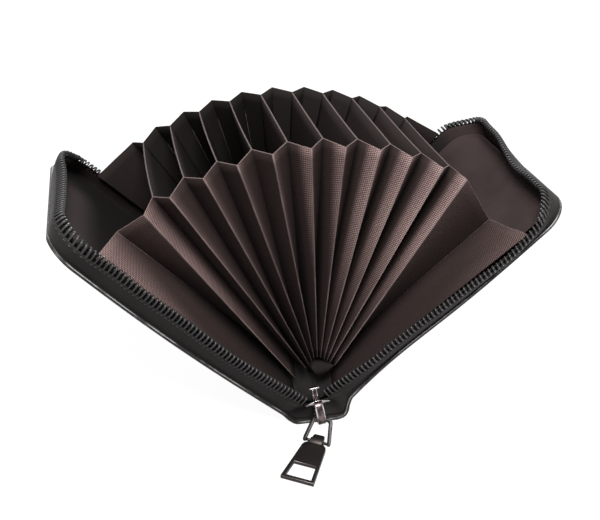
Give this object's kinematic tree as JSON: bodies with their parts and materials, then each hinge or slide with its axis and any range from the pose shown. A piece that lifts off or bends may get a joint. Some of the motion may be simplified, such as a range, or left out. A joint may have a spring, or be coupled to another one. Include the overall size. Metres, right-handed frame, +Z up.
{
  "type": "accordion card wallet",
  "caption": "Zip-around leather card wallet that opens like a fan: two hinged covers, pleated fabric pockets between leaves, zip coil round the covers, slider with ring and tab.",
  "frame": {"origin": "centre of the spine's flat underside, where the open wallet stands on a table", "axes": "+Z up out of the pockets, +Y along the spine away from the slider, +X towards the right cover"},
  "size_m": [0.1774, 0.1104, 0.106],
  "materials": {
    "black_leather": "smooth black leather with a soft sheen",
    "brown_lining": "dark brown ribbed lining cloth",
    "stiffener_board": "pressed fibre board, hidden",
    "zip_tape": "black woven tape",
    "zip_coil": "black nylon coil",
    "bright_metal": "polished gunmetal",
    "dark_metal": "dark gunmetal plating"
  },
  "bodies": {
    "spine": {"spine_leather": "black_leather", "spine_lining": "brown_lining", "gore_front": "black_leather", "gore_back": "black_leather", "accordion_base": "brown_lining", "zip_chain_end": "zip_tape", "slider_body": "bright_metal", "slider_bridge": "bright_metal", "gusset_front": "brown_lining", "gusset_back": "brown_lining"},
    "left_cover": {"left_cover_leather": "black_leather", "left_cover_board": "stiffener_board", "left_cover_lining": "brown_lining", "left_zip_wall": "black_leather", "left_zip_tape": "zip_tape", "left_zip_coil": "zip_coil"},
    "right_cover": {"right_cover_leather": "black_leather", "right_cover_board": "stiffener_board", "right_cover_lining": "brown_lining", "right_zip_wall": "black_leather", "right_zip_tape": "zip_tape", "right_zip_coil": "zip_coil"},
    "leaf_01": {"leaf_01": "brown_lining"},
    "leaf_02": {"leaf_02": "brown_lining"},
    "leaf_03": {"leaf_03": "brown_lining"},
    "leaf_04": {"leaf_04": "brown_lining"},
    "leaf_05": {"leaf_05": "brown_lining"},
    "leaf_06": {"leaf_06": "brown_lining"},
    "leaf_07": {"leaf_07": "brown_lining"},
    "leaf_08": {"leaf_08": "brown_lining"},
    "leaf_09": {"leaf_09": "brown_lining"},
    "leaf_10": {"leaf_10": "brown_lining"},
    "pull_ring": {"pull_ring": "bright_metal"},
    "pull_tab": {"pull_tab": "dark_metal"}
  },
  "joints": [
    {"name": "cover_left_fold", "type": "hinge", "parent": "spine", "child": "left_cover", "pos_m": [-0.0105, 0, 0.004], "axis": [0, 1, 0], "range_deg": [0, 45.5], "deforming": ["gusset_front", "gusset_back"]},
    {"name": "cover_right_fold", "type": "hinge", "parent": "spine", "child": "right_cover", "pos_m": [0.0105, 0, 0.004], "axis": [0, 1, 0], "range_deg": [-45.5, 0]},
    {"name": "leaf_01_fold", "type": "hinge", "parent": "spine", "child": "leaf_01", "pos_m": [-0.00572, 0, 0.0192], "axis": [0, 1, 0], "range_deg": [0, 34.9]},
    {"name": "leaf_02_fold", "type": "hinge", "parent": "spine", "child": "leaf_02", "pos_m": [-0.00465, 0, 0.01985], "axis": [0, 1, 0], "range_deg": [0, 27.7]},
    {"name": "leaf_03_fold", "type": "hinge", "parent": "spine", "child": "leaf_03", "pos_m": [-0.0035, 0, 0.02037], "axis": [0, 1, 0], "range_deg": [0, 20.5]},
    {"name": "leaf_04_fold", "type": "hinge", "parent": "spine", "child": "leaf_04", "pos_m": [-0.0023, 0, 0.02073], "axis": [0, 1, 0], "range_deg": [0, 13.3]},
    {"name": "leaf_05_fold", "type": "hinge", "parent": "spine", "child": "leaf_05", "pos_m": [-0.00106, 0, 0.02094], "axis": [0, 1, 0], "range_deg": [0, 6.1]},
    {"name": "leaf_06_fold", "type": "hinge", "parent": "spine", "child": "leaf_06", "pos_m": [0.00019, 0, 0.021], "axis": [0, 1, 0], "range_deg": [-1.1, 0]},
    {"name": "leaf_07_fold", "type": "hinge", "parent": "spine", "child": "leaf_07", "pos_m": [0.00144, 0, 0.0209], "axis": [0, 1, 0], "range_deg": [-8.3, 0]},
    {"name": "leaf_08_fold", "type": "hinge", "parent": "spine", "child": "leaf_08", "pos_m": [0.00267, 0, 0.02064], "axis": [0, 1, 0], "range_deg": [-15.5, 0]},
    {"name": "leaf_09_fold", "type": "hinge", "parent": "spine", "child": "leaf_09", "pos_m": [0.00386, 0, 0.02022], "axis": [0, 1, 0], "range_deg": [-22.7, 0]},
    {"name": "leaf_10_fold", "type": "hinge", "parent": "spine", "child": "leaf_10", "pos_m": [0.00498, 0, 0.01967], "axis": [0, 1, 0], "range_deg": [-29.9, 0]},
    {"name": "pull_ring_swing", "type": "hinge", "parent": "spine", "child": "pull_ring", "pos_m": [0.00064, -0.045, 0.00651], "axis": [0.848, -0.5299, 0], "range_deg": [-68, 46]},
    {"name": "pull_tab_swing", "type": "hinge", "parent": "pull_ring", "child": "pull_tab", "pos_m": [-0.00271, -0.05035, 0.0012], "axis": [0.848, -0.5299, 0], "range_deg": [-35, 78]}
  ],
  "couplings": [
    {"joint": "cover_right_fold", "follows": "cover_left_fold", "ratio": -1},
    {"joint": "leaf_01_fold", "follows": "cover_left_fold", "ratio": 0.76703},
    {"joint": "leaf_02_fold", "follows": "cover_left_fold", "ratio": 0.60879},
    {"joint": "leaf_03_fold", "follows": "cover_left_fold", "ratio": 0.45055},
    {"joint": "leaf_04_fold", "follows": "cover_left_fold", "ratio": 0.29231},
    {"joint": "leaf_05_fold", "follows": "cover_left_fold", "ratio": 0.13406},
    {"joint": "leaf_06_fold", "follows": "cover_left_fold", "ratio": -0.024175},
    {"joint": "leaf_07_fold", "follows": "cover_left_fold", "ratio": -0.18242},
    {"joint": "leaf_08_fold", "follows": "cover_left_fold", "ratio": -0.34066},
    {"joint": "leaf_09_fold", "follows": "cover_left_fold", "ratio": -0.4989},
    {"joint": "leaf_10_fold", "follows": "cover_left_fold", "ratio": -0.65714}
  ]
}
